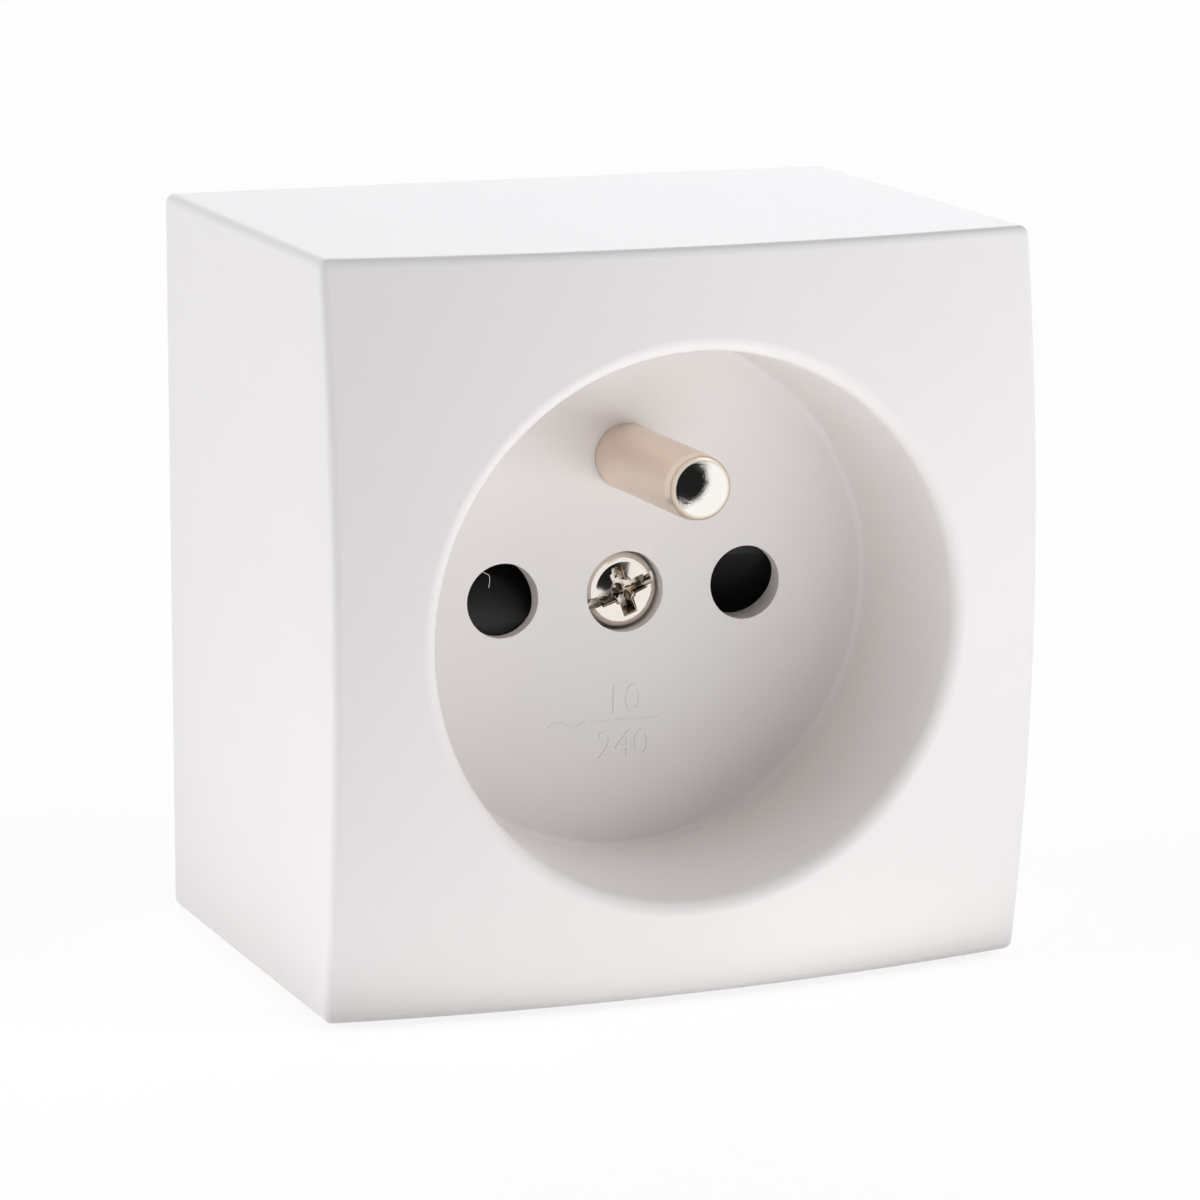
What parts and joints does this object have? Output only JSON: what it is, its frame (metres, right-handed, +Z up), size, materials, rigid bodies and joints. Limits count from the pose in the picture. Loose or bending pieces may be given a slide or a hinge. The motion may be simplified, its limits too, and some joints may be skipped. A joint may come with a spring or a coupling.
{
  "type": "surface mounted socket",
  "caption": "Square surface mounted mains socket with a bulged front, a round plug well, a projecting earth pin and a swinging safety shutter.",
  "frame": {"origin": "centre of the back, on the wall face", "axes": "+Z up, with the earth pin above the plug holes; the front faces -Y; +X to the right seen from the front"},
  "size_m": [0.0538, 0.0384, 0.0546],
  "materials": {
    "cover_plastic": "satin white moulding",
    "base_plastic": "matt white moulding",
    "block_plastic": "matt black moulding",
    "shutter_plastic": "satin black moulding",
    "spring_steel": "bright wire",
    "contact_brass": "stamped",
    "terminal_steel": "zinc plated",
    "screw_nickel": "nickel plated",
    "pin_nickel": "nickel plated, turned"
  },
  "bodies": {
    "housing": {"cover": "cover_plastic", "base_plate": "base_plastic", "contact_block": "block_plastic", "block_lid": "block_plastic", "shutter_spring": "spring_steel", "live_contact": "contact_brass", "neutral_contact": "contact_brass", "live_contact_spring": "spring_steel", "neutral_contact_spring": "spring_steel", "earth_strap": "contact_brass", "earth_pin": "pin_nickel", "cover_screw": "screw_nickel", "cover_nut": "terminal_steel", "lid_screw_left": "terminal_steel", "lid_screw_right": "terminal_steel", "block_screw_left": "terminal_steel", "block_screw_right": "terminal_steel"},
    "shutter": {"shutter_rotor": "shutter_plastic"},
    "live_screw": {"live_terminal_screw": "screw_nickel"},
    "neutral_screw": {"neutral_terminal_screw": "screw_nickel"},
    "earth_screw": {"earth_terminal_screw": "screw_nickel"},
    "live_clamp": {"live_cage": "terminal_steel"},
    "neutral_clamp": {"neutral_cage": "terminal_steel"},
    "earth_clamp": {"earth_cage": "terminal_steel"}
  },
  "joints": [
    {"name": "shutter_swing", "type": "hinge", "parent": "housing", "child": "shutter", "pos_m": [0, -0.02, 0], "axis": [0, -1, 0], "range_deg": [0, 40], "stiffness_Nm_per_rad": 0.0006, "springref_deg": -20.05, "deforming": ["shutter_spring"]},
    {"name": "live_screw_turn", "type": "hinge", "parent": "housing", "child": "live_screw", "pos_m": [0.019, -0.015, 0], "axis": [0, 1, 0], "range_deg": [0, 2280]},
    {"name": "live_clamp_rise", "type": "slide", "parent": "housing", "child": "live_clamp", "axis": [0, -1, 0], "range_m": [0, 0.0038]},
    {"name": "neutral_screw_turn", "type": "hinge", "parent": "housing", "child": "neutral_screw", "pos_m": [-0.019, -0.015, 0], "axis": [0, 1, 0], "range_deg": [0, 2280]},
    {"name": "neutral_clamp_rise", "type": "slide", "parent": "housing", "child": "neutral_clamp", "axis": [0, -1, 0], "range_m": [0, 0.0038]},
    {"name": "earth_screw_turn", "type": "hinge", "parent": "housing", "child": "earth_screw", "pos_m": [0, -0.015, 0.0185], "axis": [0, 1, 0], "range_deg": [0, 2280]},
    {"name": "earth_clamp_rise", "type": "slide", "parent": "housing", "child": "earth_clamp", "axis": [0, -1, 0], "range_m": [0, 0.0038]}
  ],
  "couplings": [
    {"joint": "live_screw_turn", "follows": "live_clamp_rise", "rad_per_m": 10472},
    {"joint": "neutral_screw_turn", "follows": "neutral_clamp_rise", "rad_per_m": 10472},
    {"joint": "earth_screw_turn", "follows": "earth_clamp_rise", "rad_per_m": 10472}
  ]
}
